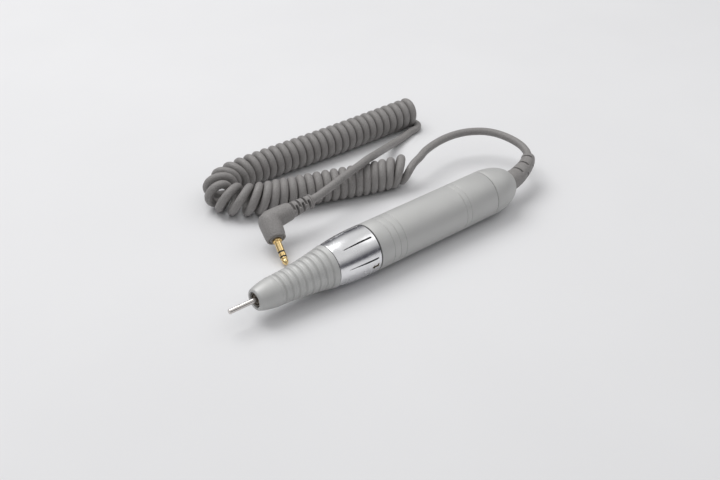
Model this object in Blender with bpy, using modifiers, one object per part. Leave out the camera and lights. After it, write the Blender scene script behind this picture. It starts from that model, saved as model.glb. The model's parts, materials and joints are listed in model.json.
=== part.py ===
"""Electric nail-drill handpiece with a twist-lock collet, a curly cord and a right-angle jack plug.

All sizes below are in millimetres; MM turns them into metres. The handpiece lies on the
surface z = 0 with its axis along X: the bit points to -X and the cord leaves at +X.
"""
import math

import bmesh
import bpy
from mathutils import Matrix, Vector

MM = 0.001

# Driving dimensions of the handpiece, along X and from the axis outwards
BODY_R = 12.0
AXIS_Z = BODY_R
PIN_TIP = -88.5
NOSE_FRONT = -75.0
NOSE_REAR = -34.0
COLLAR_FRONT = -33.6
COLLAR_REAR = -10.4
COLLAR_CROWN = 1.55
BARREL_FRONT = -9.7
BARREL_REAR = 67.2
CAP_FRONT = 67.5
DOME_FRONT = 68.5
DOME_LENGTH = 20.0
DOME_POWER = 2.2
CAP_HOLE_R = 4.9
WALL = 1.0
GAP = 0.3
SHANK_R = 1.175

# Ribs of the grip and grooves of the barrel
RIB_COUNT = 7
RIB_FRONT = -62.2
RIB_PITCH = 3.58
RIB_DEPTH = 0.45
FRONT_GROOVES = (-2.1, 1.7, 5.5)
REAR_GROOVES = (45.6, 48.8)
GROOVE_DEPTH = 0.18
GROOVE_HALF = 0.3

# Twist lock: turning the collar by TWIST pushes the cam sleeve forward
CAM_RISE = 0.7
CAM_LOBES = 2

# Motor
CAN_R = 10.4
CAN_FRONT = -2.0
CAN_REAR = 36.0
SHAFT_R = 1.0
SCREW_R = 5.8
NECK_WIDTH = 3.2
BRUSH_X = 30.0
BRUSH_SIDE = 3.0
BRUSH_IN = 3.3
BRUSH_LENGTH = 3.5
SPRING_SEAT = 8.5

# Cord, curly cord and plug
CORD_R = 2.1
CORD_SIDES = 2
COIL_R = 8.5
JACK_R = 1.75
ELBOW = (-32.5, 47.3, 13.4)
JACK_AXIS = (-0.238, -0.851, -0.469)
NOSE_LENGTH = 11.5

# Centre of the cord from the cap to the curly cord, and of its strain relief
LEAD_ROUTE = [
    (87.0, 0.0, 12.0), (93.5, 1.0, 12.2), (99.2, 2.6, 12.8), (104.9, 4.8, 13.4),
    (110.0, 8.0, 14.0), (114.2, 12.8, 14.6), (116.5, 18.8, 15.2), (117.0, 25.1, 15.7),
    (116.4, 31.4, 16.0), (114.7, 37.2, 16.2), (111.8, 42.2, 16.2), (107.8, 46.0, 16.1),
    (103.0, 49.0, 15.9), (97.3, 51.0, 15.6), (90.4, 51.7, 15.4), (82.3, 51.0, 15.2),
    (72.9, 48.8, 14.9), (63.9, 45.9, 14.3),
]
RELIEF_LENGTH = 28.0

# Centre line of the coiled part: front run, hairpin, back run
COIL_ROUTE = [
    (60.5, 48.4, 8.6), (46.6, 51.6, 8.6), (34.0, 55.2, 8.6), (20.0, 60.4, 8.6),
    (6.0, 65.4, 8.6), (-8.0, 70.2, 8.6), (-19.2, 74.4, 8.6), (-28.2, 80.2, 8.6),
    (-32.6, 88.6, 8.6), (-28.4, 97.0, 8.6), (-18.6, 101.1, 8.6), (-5.0, 101.7, 8.6),
    (10.0, 101.2, 8.6), (30.0, 100.3, 8.6), (50.0, 99.4, 8.6), (75.0, 98.9, 8.6),
    (105.6, 98.4, 8.6),
]

# Centre of the cord from the curly cord to the plug
TAIL_ROUTE = [
    (109.0, 95.6, 2.4), (109.0, 91.8, 2.3), (107.4, 89.2, 2.3), (102.8, 88.6, 2.3),
    (98.6, 88.3, 2.3), (94.1, 86.9, 2.3), (86.5, 84.4, 2.5), (77.3, 80.8, 4.2), (65.5, 74.2, 7.9),
    (50.6, 63.7, 14.5), (37.6, 55.3, 19.6), (30.2, 53.2, 19.5), (22.1, 51.2, 19.2),
    (13.9, 49.4, 18.6), (6.5, 47.9, 17.7), (-0.8, 46.9, 16.6), (-7.0, 46.4, 15.7),
]


# ---------------------------------------------------------------- helpers

def clear_scene():
    for item in list(bpy.data.objects):
        bpy.data.objects.remove(item, do_unlink=True)


def make_collection(name):
    collection = bpy.data.collections.new(name)
    bpy.context.scene.collection.children.link(collection)
    return collection


def make_material(name, colour, roughness, metallic):
    material = bpy.data.materials.new(name)
    material.use_nodes = True
    shader = material.node_tree.nodes["Principled BSDF"]
    shader.inputs["Base Color"].default_value = (*colour, 1.0)
    shader.inputs["Roughness"].default_value = roughness
    shader.inputs["Metallic"].default_value = metallic
    return material


def make_empty(name, location, z_axis, parent=None):
    """An empty whose local Z points along z_axis; location in millimetres."""
    empty = bpy.data.objects.new(name, None)
    empty.empty_display_size = 5 * MM
    parts.objects.link(empty)
    turn = Vector((0, 0, 1)).rotation_difference(Vector(z_axis))
    empty.rotation_mode = "QUATERNION"
    empty.rotation_quaternion = turn
    empty.location = Vector(location) * MM
    empty.parent = parent
    return empty


def place(obj, name, material, parent, collection=None):
    obj.name = name
    obj.data.name = name
    (collection or parts).objects.link(obj)
    if material:
        obj.data.materials.append(material)
    obj.parent = parent
    return obj


def mesh_object(build):
    """Run build(bm) and return a new object that holds the result."""
    bm = bmesh.new()
    build(bm)
    mesh = bpy.data.meshes.new("mesh")
    bm.to_mesh(mesh)
    bm.free()
    return bpy.data.objects.new("object", mesh)


def turned(name, outer, inner, material, parent, steps=24, collection=None):
    """A solid turned about the parent's Z: outer and inner run from low to high (z, r).

    Without inner, the outer outline starts and ends on the axis.
    """
    closed = inner is not None
    outline = list(reversed(outer)) + (list(inner) if closed else [])

    def build(bm):
        verts = [bm.verts.new((r * MM, 0, z * MM)) for z, r in outline]
        for first, second in zip(verts, verts[1:]):
            bm.edges.new((first, second))
        if closed:
            bm.edges.new((verts[-1], verts[0]))

    obj = mesh_object(build)
    place(obj, name, material, parent, collection)
    screw = obj.modifiers.new("turn", "SCREW")
    screw.axis = "Z"
    screw.steps = steps
    screw.render_steps = steps
    screw.use_merge_vertices = True
    screw.merge_threshold = 0.00001
    screw.use_smooth_shade = True
    return obj


def tube_outline(z0, z1, r_in, r_out):
    return [(z0, r_out), (z1, r_out)], [(z0, r_in), (z1, r_in)]


def ring(name, z0, z1, r_in, r_out, material, parent, steps=24):
    outer, inner = tube_outline(z0, z1, r_in, r_out)
    return turned(name, outer, inner, material, parent, steps)


def rod(name, z0, z1, r, material, parent, steps=16, chamfer=0.0, collection=None):
    outline = [(z0, 0), (z0, r - chamfer), (z0 + chamfer, r), (z1 - chamfer, r)]
    outline += [(z1, r - chamfer), (z1, 0)]
    if chamfer == 0:
        outline = [(z0, 0), (z0, r), (z1, r), (z1, 0)]
    return turned(name, outline, None, material, parent, steps, collection)


def box(name, centre, size, material, parent, collection=None):
    def build(bm):
        bmesh.ops.create_cube(bm, size=1)
        bmesh.ops.scale(bm, vec=Vector(size) * MM, verts=bm.verts)
        bmesh.ops.translate(bm, vec=Vector(centre) * MM, verts=bm.verts)

    return place(mesh_object(build), name, material, parent, collection)


def hide_tool(tool):
    for collection in list(tool.users_collection):
        collection.objects.unlink(tool)
    cutters.objects.link(tool)
    tool.hide_render = True
    tool.display_type = "WIRE"


def combine(obj, tool, operation):
    hide_tool(tool)
    boolean = obj.modifiers.new(operation.lower(), "BOOLEAN")
    boolean.operation = operation
    boolean.solver = "EXACT"
    boolean.object = tool


def cut(obj, tool):
    combine(obj, tool, "DIFFERENCE")


def join(obj, tool):
    combine(obj, tool, "UNION")


def smooth_route(route, spacing):
    """Points about one spacing apart on a Catmull-Rom curve through the route (mm)."""
    knots = [Vector(point) for point in route]
    knots = [2 * knots[0] - knots[1]] + knots + [2 * knots[-1] - knots[-2]]
    fine = []
    samples = 24
    for i in range(1, len(knots) - 2):
        p0, p1, p2, p3 = knots[i - 1:i + 3]
        for step in range(samples):
            t = step / samples
            fine.append(0.5 * (2 * p1 + (p2 - p0) * t + (2 * p0 - 5 * p1 + 4 * p2 - p3) * t ** 2
                               + (3 * p1 - p0 - 3 * p2 + p3) * t ** 3))
    fine.append(knots[-2])
    travel = [0.0]
    for first, second in zip(fine, fine[1:]):
        travel.append(travel[-1] + (second - first).length)
    count = max(2, round(travel[-1] / spacing) + 1)
    points = []
    k = 0
    for n in range(count):
        target = travel[-1] * n / (count - 1)
        while k < len(fine) - 2 and travel[k + 1] < target:
            k += 1
        part = (target - travel[k]) / (travel[k + 1] - travel[k])
        points.append(fine[k].lerp(fine[k + 1], part))
    return points


def split_route(points, length):
    """The points up to a length along them, and the rest."""
    travel = 0.0
    for n in range(1, len(points)):
        travel += (points[n] - points[n - 1]).length
        if travel >= length:
            return points[:n + 1], points[n + 1:]
    return points, []


def tube(name, points, radii, material, resolution=2, parent=None):
    """A curve with filled ends; radii is one radius or one for each point."""
    curve = bpy.data.curves.new(name, "CURVE")
    curve.dimensions = "3D"
    curve.bevel_depth = MM
    curve.bevel_resolution = resolution
    curve.use_fill_caps = True
    spline = curve.splines.new("POLY")
    spline.points.add(len(points) - 1)
    for n, point in enumerate(points):
        spline.points[n].co = (*(Vector(point) * MM), 1)
        spline.points[n].radius = radii[n] if isinstance(radii, list) else radii
    spline.use_smooth = True
    return place(bpy.data.objects.new(name, curve), name, material, parent)


def spring_points(z0, z1, radius, turns, steps=8):
    count = turns * steps + 1
    for n in range(count):
        angle = 2 * math.pi * n / steps
        height = z0 + (z1 - z0) * n / (count - 1)
        yield (radius * math.cos(angle), radius * math.sin(angle), height)


# ---------------------------------------------------------------- housing

def nose_outline():
    """Outside of the grip: a front cone, the ribs and a flare up to the collar."""
    outline = [(NOSE_FRONT, 4.9), (-73.5, 5.55), (-71.5, 6.2), (-69.0, 6.75), (-66.5, 7.1)]
    for n in range(RIB_COUNT):
        start = RIB_FRONT + n * RIB_PITCH
        outline.append((start, grip_radius(start) - RIB_DEPTH))
        outline.append((start + 0.3 * RIB_PITCH, grip_radius(start + 0.3 * RIB_PITCH)))
        outline.append((start + 0.8 * RIB_PITCH, grip_radius(start + 0.8 * RIB_PITCH)))
    end = RIB_FRONT + RIB_COUNT * RIB_PITCH
    outline.append((end, grip_radius(end) - RIB_DEPTH))
    outline.append((end + 0.5, grip_radius(end + 0.5)))
    outline.append((NOSE_REAR, grip_radius(NOSE_REAR)))
    return outline


def grip_radius(x):
    """Radius over the ribs: slim at the front and flaring towards the collar."""
    t = (x + 66.0) / 32.0
    return 7.2 + 0.7 * t + 2.75 * max(t, 0) ** 1.9


def make_nose(parent):
    inner = [(NOSE_FRONT, 3.75), (-73.8, 3.75), (-73.2, 5.2), (-70.2, 5.2), (-68.0, 6.1),
             (-56.5, 6.1), (-54.5, 7.1), (-45.2, 7.1), (-43.5, 8.2), (NOSE_REAR, 8.2)]
    turned("nose_cone", nose_outline(), inner, silver, parent)


def make_seals(parent):
    ring("front_seal_ring", NOSE_REAR + 0.1, COLLAR_FRONT - 0.1, 8.2, 10.3, black, parent)
    ring("rear_seal_ring", COLLAR_REAR + 0.2, BARREL_FRONT - 0.2, 9.8, 11.7, black, parent)


def grooved_outline(x0, x1, grooves, chamfer):
    outline = [(x0, BODY_R - chamfer), (x0 + chamfer, BODY_R)]
    for centre in grooves:
        outline.append((centre - GROOVE_HALF, BODY_R))
        outline.append((centre, BODY_R - GROOVE_DEPTH))
        outline.append((centre + GROOVE_HALF, BODY_R))
    outline += [(x1 - chamfer, BODY_R), (x1, BODY_R - chamfer)]
    return outline


def make_barrel(parent):
    outer = grooved_outline(BARREL_FRONT, BARREL_REAR, FRONT_GROOVES + REAR_GROOVES, 0.15)
    inner = [(BARREL_FRONT, BODY_R - WALL), (BARREL_REAR, BODY_R - WALL)]
    turned("barrel", outer, inner, silver, parent, 28)


def dome_radius(x):
    part = min(1.0, max(0.0, (x - DOME_FRONT) / DOME_LENGTH))
    return BODY_R * (1 - part ** DOME_POWER) ** (1 / DOME_POWER)


def make_rear_cap(parent):
    last = (1 - (CAP_HOLE_R / BODY_R) ** DOME_POWER) ** (1 / DOME_POWER) * DOME_LENGTH
    steps = 7
    outer = [(CAP_FRONT, BODY_R - 0.15), (CAP_FRONT + 0.15, BODY_R)]
    outer += [(DOME_FRONT + last * n / steps, dome_radius(DOME_FRONT + last * n / steps))
              for n in range(2, steps + 1)]
    spigot = 6.0
    outer = [(CAP_FRONT - spigot, BODY_R - WALL - GAP), (CAP_FRONT, BODY_R - WALL - GAP)] + outer
    inner = [(CAP_FRONT - spigot, 9.5), (74.0, 9.5), (79.0, 8.6), (83.4, 6.8), (83.6, CAP_HOLE_R)]
    turned("rear_cap", outer, inner, silver, parent, 28)


# ---------------------------------------------------------------- spindle and chuck

def make_spindle_housing(parent):
    """The steel tube that holds both bearings, with two slots for the cam sleeve's fingers."""
    outer = [(-72.6, 4.7), (-69.8, 4.7), (-67.8, 5.8), (-56.0, 5.8), (-54.4, 6.8), (-45.0, 6.8),
             (-43.4, 7.9), (-33.1, 7.9), (-33.1, 9.2), (-32.2, 9.2), (-32.2, 7.9), (-10.6, 7.9),
             (-10.6, 9.3), (-9.4, 9.3)]
    inner = [(-72.6, 3.6), (-68.6, 3.6), (-67.6, 5.3), (-60.6, 5.3), (-60.6, 4.4), (-47.0, 4.4),
             (-45.0, 6.0), (-42.0, 6.0), (-37.2, 6.6), (-32.4, 6.6), (-32.4, 5.9), (-30.0, 5.9),
             (-30.0, 7.0), (-9.4, 7.0)]
    housing = turned("spindle_housing", outer, inner, steel, parent, 24)
    slots = box("housing_slots", (0, 0, -20.4), (3.8, 20, 5.2), None, parent, cutters)
    cut(housing, slots)


def make_bearing(label, z0, z1, radii, parents, steps=20):
    """Outer race on the housing, inner race on the spindle, balls and cage between them."""
    r_in, r_inner_top, r_outer_low, r_out = radii
    fixed, spinning, caged = parents
    ring(label + "_bearing_outer", z0, z1, r_outer_low, r_out, steel, fixed, steps)
    ring(label + "_bearing_inner", z0, z1, r_in, r_inner_top, steel, spinning, steps)
    pitch = (r_inner_top + r_outer_low) / 2
    ball_r = (r_outer_low - r_inner_top) / 2 - 0.1
    middle = (z0 + z1) / 2
    cage = ring(label + "_ball_cage", middle - 0.3, middle + 0.3, pitch - 0.16, pitch + 0.16,
                brass, caged, steps)
    count = 7

    def build(bm):
        for n in range(count):
            angle = 2 * math.pi * n / count
            spot = Vector((pitch * math.cos(angle), pitch * math.sin(angle), middle)) * MM
            bmesh.ops.create_icosphere(bm, subdivisions=1, radius=ball_r * MM,
                                       matrix=Matrix.Translation(spot))

    balls = place(mesh_object(build), label + "_balls", None, caged, cutters)
    join(cage, balls)


def make_spindle(parent):
    outer = [(-74.3, 3.1), (-74.1, 3.25), (-68.9, 3.25), (-68.7, 3.0), (-19.9, 3.0), (-19.9, 2.6),
             (-17.6, 2.6)]
    inner = [(-74.3, 2.75), (-70.0, 2.15), (-17.6, 2.15)]
    spindle = turned("spindle", outer, inner, bright, parent, 20)
    cut(spindle, box("spindle_slot", (0, 0, -23.0), (1.9, 10, 3.9), None, parent, cutters))
    fork = ring("spindle_fork", -17.3, -14.6, 2.6, 4.2, steel, parent, 20)
    neck = rod("fork_web", -17.3, -14.6, 2.8, None, parent, 20, 0.0, cutters)
    join(fork, neck)
    for side in (-1, 1):
        join(fork, box("fork_lug", (side * 3.0, 0, -13.6), (1.8, 2.4, 2.6), None, parent, cutters))


def make_collet(parent):
    outer = [(-73.9, 2.35), (-73.7, 2.45), (-70.1, 1.88), (-58.0, 1.88)]
    inner = [(-73.9, 1.45), (-73.6, 1.3), (-58.0, 1.3)]
    collet = turned("collet", outer, inner, bright, parent, 20)
    for n in range(2):
        size = (0.45, 8, 9) if n else (8, 0.45, 9)
        cut(collet, box("collet_slit", (0, 0, -70.5), size, None, parent, cutters))


def make_drawbar(parent):
    outline = [(-57.7, 0), (-57.7, 1.85), (-54.0, 1.85), (-54.0, 1.1), (-30.0, 1.1), (-30.0, 1.85),
               (-20.4, 1.85), (-20.4, 0)]
    bar = turned("drawbar", outline, None, steel, parent, 20)
    join(bar, box("cross_pin", (0, 0, -22.2), (1.2, 7.0, 1.2), None, parent, cutters))
    ring("drawbar_nut", -23.2, -21.0, 3.8, 6.3, steel, parent, 20)
    tube("drawbar_spring", list(spring_points(-53.5, -30.4, 1.55, 9)), 0.22, bright, 0, parent)


def make_bit_pin(parent):
    rod("bit_pin", PIN_TIP, -60.0, SHANK_R, bright, parent, 20, 0.15)


# ---------------------------------------------------------------- twist lock

def collar_outline():
    """The crowned outside of the twist collar."""
    steps = 7
    for n in range(steps + 1):
        part = n / steps
        x = COLLAR_FRONT + (COLLAR_REAR - COLLAR_FRONT) * part
        yield (x, BODY_R - COLLAR_CROWN * (1 - min(part / 0.8, 1)) ** 1.9)


def make_twist_collar(parent):
    inner = [(COLLAR_FRONT, 9.65), (COLLAR_REAR, 9.65)]
    turned("twist_collar", list(collar_outline()), inner, chrome, parent, 28)


def wave_face(obj, z_face, sign):
    """Raise one end face of a ring into CAM_LOBES smooth lobes."""
    mesh = bpy.data.meshes.new_from_object(obj.evaluated_get(bpy.context.evaluated_depsgraph_get()))
    obj.modifiers.clear()
    obj.data = mesh
    for vert in mesh.vertices:
        if abs(vert.co.z - z_face * MM) < 0.01 * MM:
            angle = math.atan2(vert.co.y, vert.co.x)
            vert.co.z += sign * CAM_RISE * math.cos(CAM_LOBES * angle) * MM


def make_cam(collar, slider):
    cam = ring("cam_ring", -16.9, -11.6, 8.3, 9.3, steel, collar, 28)
    wave_face(cam, -16.9, 1)
    sleeve = ring("cam_sleeve", -29.0, -18.0, 8.3, 9.3, steel, slider, 28)
    wave_face(sleeve, -18.0, 1)
    for side in (-1, 1):
        centre = (0, side * 6.55, -19.9)
        join(sleeve, box("cam_finger", centre, (3.0, 4.5, 1.6), None, slider, cutters))


# ---------------------------------------------------------------- motor

def make_motor_housing(parent):
    mount = ring("motor_mount", -9.0, -2.4, 4.6, 10.7, plastic, parent)
    can_outer = [(CAN_FRONT, CAN_R - 0.4), (CAN_FRONT + 0.4, CAN_R), (CAN_REAR, CAN_R)]
    can_inner = [(CAN_FRONT, 2.5), (CAN_FRONT + 0.9, 2.5), (CAN_FRONT + 0.9, 9.7),
                 (CAN_REAR, 9.7)]
    can = turned("motor_can", can_outer, can_inner, steel, parent, 28)
    for side in (-1, 1):
        hole = rod("screw_hole", -10, 0, 0.95, None, parent, 12, 0.0, cutters)
        hole.location = (0, side * SCREW_R * MM, 0)
        hole.rotation_euler = (0, 0, 0.13)
        cut(mount, hole)
        cut(can, hole)
        label = "motor_screw_1" if side < 0 else "motor_screw_2"
        outline = [(-10.3, 0), (-10.3, 0.9), (-9.3, 0.9), (-9.3, 0.65), (-1.5, 0.65), (-1.5, 0)]
        screw = turned(label, outline, None, steel, parent, 12)
        screw.location = (0, side * SCREW_R * MM, 0)


def make_magnets(parent):
    for n, side in enumerate((-1, 1)):
        magnet = ring("magnet_%d" % (n + 1), 1.0, 25.0, 8.3, 9.4, dark, parent, 32)
        cut(magnet, box("magnet_split", (side * 7.0, 0, 13.0), (20, 30, 30), None, parent, cutters))


def make_bushes(parent):
    ring("motor_front_bush", -0.8, 0.6, 1.3, 3.6, brass, parent, 20)
    ring("motor_rear_bush", 36.6, 39.8, 1.3, 2.9, brass, parent, 20)


def make_end_bell(parent):
    """The plate that closes the can, with a square holder for each brush."""
    bell = ring("motor_end_bell", CAN_REAR + 0.3, 40.0, 3.2, CAN_R, plastic, parent, 28)
    for side in (-1, 1):
        holder = box("holder", (side * 6.8, 0, 32.6), (4.8, 4.8, 9.0), None, parent, cutters)
        join(bell, holder)
    hollow = BRUSH_SIDE + 2 * GAP
    cut(bell, box("holder_hollow", (0, 0, BRUSH_X), (17.6, hollow, hollow), None, parent, cutters))


def make_brushes(parents):
    """Brush 1 stands above the commutator and brush 2 below it, each with its spring."""
    for n, side in enumerate((-1, 1)):
        label = str(n + 1)
        middle = BRUSH_IN + BRUSH_LENGTH / 2
        size = (BRUSH_LENGTH, BRUSH_SIDE, BRUSH_SIDE)
        box("brush_" + label, (side * middle, 0, BRUSH_X), size, dark, parents[n])
        start = BRUSH_IN + BRUSH_LENGTH + GAP
        turns = spring_points(start, SPRING_SEAT, 0.9, 2)
        points = [(side * z, y, BRUSH_X + x) for x, y, z in turns]
        tube("brush_spring_" + label, points, 0.15, bright, 0, parents[n])


def make_armature(parent):
    """Shaft and a three-tooth core: a narrow neck and a wide shoe for each tooth."""
    rod("motor_shaft", -8.4, 42.0, SHAFT_R, bright, parent, 16, 0.15)
    core = ring("armature_core", 4.0, 22.0, 1.3, 7.7, steel, parent, 30)
    pocket = turned("core_pocket", *tube_outline(-5, 30, 3.3, 6.5), None, parent, 24, cutters)
    pocket.rotation_euler = (0, 0, 0.07)
    cut(core, pocket)
    for n in range(3):
        tooth = math.radians(120 * n + 5)
        neck = box("core_neck", (0, 0, 0), (8, NECK_WIDTH, 50), None, parent, cutters)
        slit = box("core_slit", (0, 0, 0), (4, 1.6, 30), None, parent, cutters)
        put_radially(neck, tooth, 6.0)
        put_radially(slit, tooth + math.pi / 3, 7.5)
        cut(pocket, neck)
        cut(core, slit)
        make_winding(n, tooth, parent)


def put_radially(item, angle, radius):
    middle = 13.0
    item.location = Vector((math.cos(angle) * radius, math.sin(angle) * radius, middle)) * MM
    item.rotation_euler = (0, 0, angle)


def make_winding(n, tooth, parent):
    """One coil round the neck of one tooth, as a flat frame."""
    depth = 1.5
    coil = box("winding_%d" % (n + 1), (0, 0, 0), (depth, 6.6, 21.2), copper, parent)
    hole = box("winding_hole", (0, 0, 0), (4.0, NECK_WIDTH + 2 * GAP, 18.6), None, parent, cutters)
    put_radially(coil, tooth, 4.45)
    put_radially(hole, tooth, 4.45)
    cut(coil, hole)


def make_commutator(parent):
    ring("commutator_hub", 26.0, 34.0, 1.3, 2.2, plastic, parent, 20)
    count = 3
    arc = 108
    steps = 5
    for n in range(count):
        start = math.radians(360 * n / count)

        def build(bm, start=start):
            corners = [(2.45, 27.6), (3.1, 27.6), (3.1, 32.8), (2.45, 32.8)]
            rows = []
            for k in range(steps + 1):
                angle = start + math.radians(arc) * k / steps
                rows.append([bm.verts.new((r * math.cos(angle) * MM, r * math.sin(angle) * MM,
                                           z * MM)) for r, z in corners])
            for first, second in zip(rows, rows[1:]):
                for k in range(4):
                    after = (k + 1) % 4
                    bm.faces.new((first[k], first[after], second[after], second[k]))
            bm.faces.new(rows[0])
            bm.faces.new(rows[-1])
            bmesh.ops.recalc_face_normals(bm, faces=bm.faces)

        place(mesh_object(build), "commutator_segment_%d" % (n + 1), copper, parent)


def make_drive_coupling(parent):
    """The driving half of the dog coupling; its lugs stand a quarter turn from the fork's."""
    hub = ring("drive_coupling", -11.9, -8.8, 2.0, 4.2, plastic, parent, 20)
    join(hub, ring("coupling_hub", -11.9, -5.2, SHAFT_R + GAP, 2.4, None, parent, 20))
    for side in (-1, 1):
        join(hub, box("drive_lug", (0, side * 3.0, -12.9), (2.4, 1.8, 2.6), None, parent, cutters))


# ---------------------------------------------------------------- wiring

def make_wiring(parent):
    for n, side in enumerate((-1, 1)):
        route = [(40.4, side * 6.0, 0), (46.0, side * 6.0, 0), (56.0, side * 3.6, 0.8),
                 (66.0, side * 2.0, 0.4), (73.4, side * 1.1, 0)]
        points = [(-z, y, x) for x, y, z in smooth_route(route, 4.0)]
        tube("lead_wire_%d" % (n + 1), points, 0.6, (red, black)[n], 1, parent)
    ring("cord_clamp", 75.0, 79.0, CORD_R + GAP, 5.6, steel, parent, 24)


def make_strain_relief(points):
    """Sheath stub in the clamp, flange inside the cap, neck in its hole, tapered bent sleeve."""
    start = [(74.0, 0, AXIS_Z), (81.0, 0, AXIS_Z), (81.05, 0, AXIS_Z), (83.2, 0, AXIS_Z),
             (83.25, 0, AXIS_Z), (87.4, 0, AXIS_Z), (87.5, 0, AXIS_Z)]
    radii = [CORD_R, CORD_R, 5.6, 5.6, CAP_HOLE_R - GAP, CAP_HOLE_R - GAP, 5.3]
    sleeve = points[1:]
    base, tip = 5.3, 2.9
    radii += [base + (tip - base) * (n + 1) / len(sleeve) for n in range(len(sleeve))]
    tube("strain_relief", start + sleeve, radii, rubber, 3)


# ---------------------------------------------------------------- cord and plug

def make_cords():
    lead = smooth_route(LEAD_ROUTE, 2.5 * CORD_R)
    sleeve, rest = split_route(lead, RELIEF_LENGTH)
    make_strain_relief(sleeve)
    first = sleeve[-1].lerp(rest[0], 0.12)
    tube("cord_lead", [first] + rest, CORD_R, rubber, CORD_SIDES)
    tube("curly_cord", smooth_route(COIL_ROUTE, 7.0), COIL_R, rubber, 3)
    tube("cord_tail", smooth_route(TAIL_ROUTE, 2.5 * CORD_R), CORD_R, rubber, CORD_SIDES)


def make_plug():
    """A moulded right-angle body with its ribbed relief, and the five pieces of the jack."""
    axis = make_empty("jack_axis", ELBOW, JACK_AXIS)
    relief_end = Vector(TAIL_ROUTE[-1])
    along = (Vector(ELBOW) - relief_end).normalized()
    relief = make_empty("relief_axis", relief_end, along)
    length = (Vector(ELBOW) - relief_end).length
    outer = [(-2.5, 0), (-2.5, 4.9), (2.0, 5.5), (NOSE_LENGTH - 1.4, 5.1),
             (NOSE_LENGTH - 0.6, 4.9), (NOSE_LENGTH - 0.6, 0)]
    body = turned("plug_body", outer, None, rubber, axis, 20)
    outer = [(2 * GAP, 0), (2 * GAP, 2.8), (12.0, 3.6), (13.0, 4.3), (length - 3.0, 5.3),
             (length, 5.0), (length, 0)]
    join(body, turned("plug_relief", outer, None, None, relief, 20, cutters))
    corner = mesh_object(lambda bm: bmesh.ops.create_uvsphere(bm, u_segments=16, v_segments=10,
                                                              radius=5.45 * MM))
    place(corner, "plug_corner", None, axis, cutters)
    join(body, corner)
    make_jack(axis)


def make_jack(axis):
    shoulder = NOSE_LENGTH
    pieces = [
        ("plug_sleeve", gold, [(-0.3, 2.4), (0.9, 2.4), (0.9, JACK_R), (6.5, JACK_R)]),
        ("plug_insulator_1", black, [(6.7, 1.65), (7.2, 1.65)]),
        ("plug_ring", gold, [(7.4, JACK_R), (9.3, JACK_R)]),
        ("plug_insulator_2", black, [(9.5, 1.65), (10.0, 1.65)]),
        ("plug_tip", gold, [(10.2, JACK_R), (10.6, JACK_R), (11.2, 1.35), (11.7, 1.35),
                            (12.4, 1.6), (13.0, 1.55), (14.0, 0.7)]),
    ]
    for name, material, outline in pieces:
        outline = [(shoulder + z, r) for z, r in outline]
        ends = [(outline[0][0], 0)], [(outline[-1][0], 0)]
        turned(name, ends[0] + outline + ends[1], None, material, axis, 20)


# ---------------------------------------------------------------- assembly

clear_scene()
parts = make_collection("nail_drill_handpiece")
cutters = make_collection("cutters")
cutters.hide_render = True

silver = make_material("silver_paint", (0.56, 0.56, 0.55), 0.45, 0.6)
chrome = make_material("chrome", (0.8, 0.8, 0.82), 0.12, 1.0)
steel = make_material("steel", (0.45, 0.45, 0.46), 0.35, 1.0)
bright = make_material("bright_steel", (0.65, 0.64, 0.62), 0.2, 1.0)
brass = make_material("brass", (0.7, 0.52, 0.25), 0.3, 1.0)
gold = make_material("gold_plate", (0.83, 0.62, 0.3), 0.2, 1.0)
copper = make_material("copper", (0.72, 0.36, 0.2), 0.35, 1.0)
black = make_material("black_plastic", (0.02, 0.02, 0.02), 0.5, 0.0)
dark = make_material("dark_ferrite", (0.06, 0.06, 0.065), 0.7, 0.0)
plastic = make_material("white_plastic", (0.6, 0.58, 0.52), 0.5, 0.0)
red = make_material("red_wire", (0.5, 0.03, 0.03), 0.5, 0.0)
rubber = make_material("grey_cord", (0.27, 0.26, 0.25), 0.6, 0.0)

AXIS = (0, 0, AXIS_Z)
fixed_axis = make_empty("handpiece_axis", AXIS, (1, 0, 0))
collar_axis = make_empty("collar_axis", AXIS, (1, 0, 0))
slider_axis = make_empty("cam_sleeve_axis", AXIS, (1, 0, 0))
spindle_axis = make_empty("spindle_axis", AXIS, (1, 0, 0))
cage_axis = make_empty("cage_axis", AXIS, (1, 0, 0))
collet_axis = make_empty("collet_axis", AXIS, (1, 0, 0))
pin_axis = make_empty("pin_axis", AXIS, (1, 0, 0))
armature_axis = make_empty("armature_axis", AXIS, (1, 0, 0))
brush_axes = [make_empty("brush_axis_%d" % n, AXIS, (1, 0, 0)) for n in (1, 2)]

make_nose(fixed_axis)
make_seals(fixed_axis)
make_barrel(fixed_axis)
make_rear_cap(fixed_axis)
make_spindle_housing(fixed_axis)
bearing_parents = (fixed_axis, spindle_axis, cage_axis)
make_bearing("front", -67.2, -64.2, (3.3, 3.7, 4.6, 5.0), bearing_parents)
make_bearing("rear", -36.8, -32.8, (3.3, 3.9, 5.5, 6.3), bearing_parents)
make_spindle(spindle_axis)
make_collet(collet_axis)
make_drawbar(collet_axis)
make_bit_pin(pin_axis)
make_twist_collar(collar_axis)
make_cam(collar_axis, slider_axis)
make_motor_housing(fixed_axis)
make_magnets(fixed_axis)
make_bushes(fixed_axis)
make_end_bell(fixed_axis)
make_brushes(brush_axes)
make_armature(armature_axis)
make_commutator(armature_axis)
make_drive_coupling(armature_axis)
make_wiring(fixed_axis)
make_cords()
make_plug()
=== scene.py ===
"""Looks of the nail-drill handpiece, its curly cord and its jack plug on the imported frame.

Sizes are in millimetres and MM turns them into metres. The handpiece lies along X on the
surface z = 0: the bit points to -X and the cord leaves at +X.
"""
import json
import math

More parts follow.
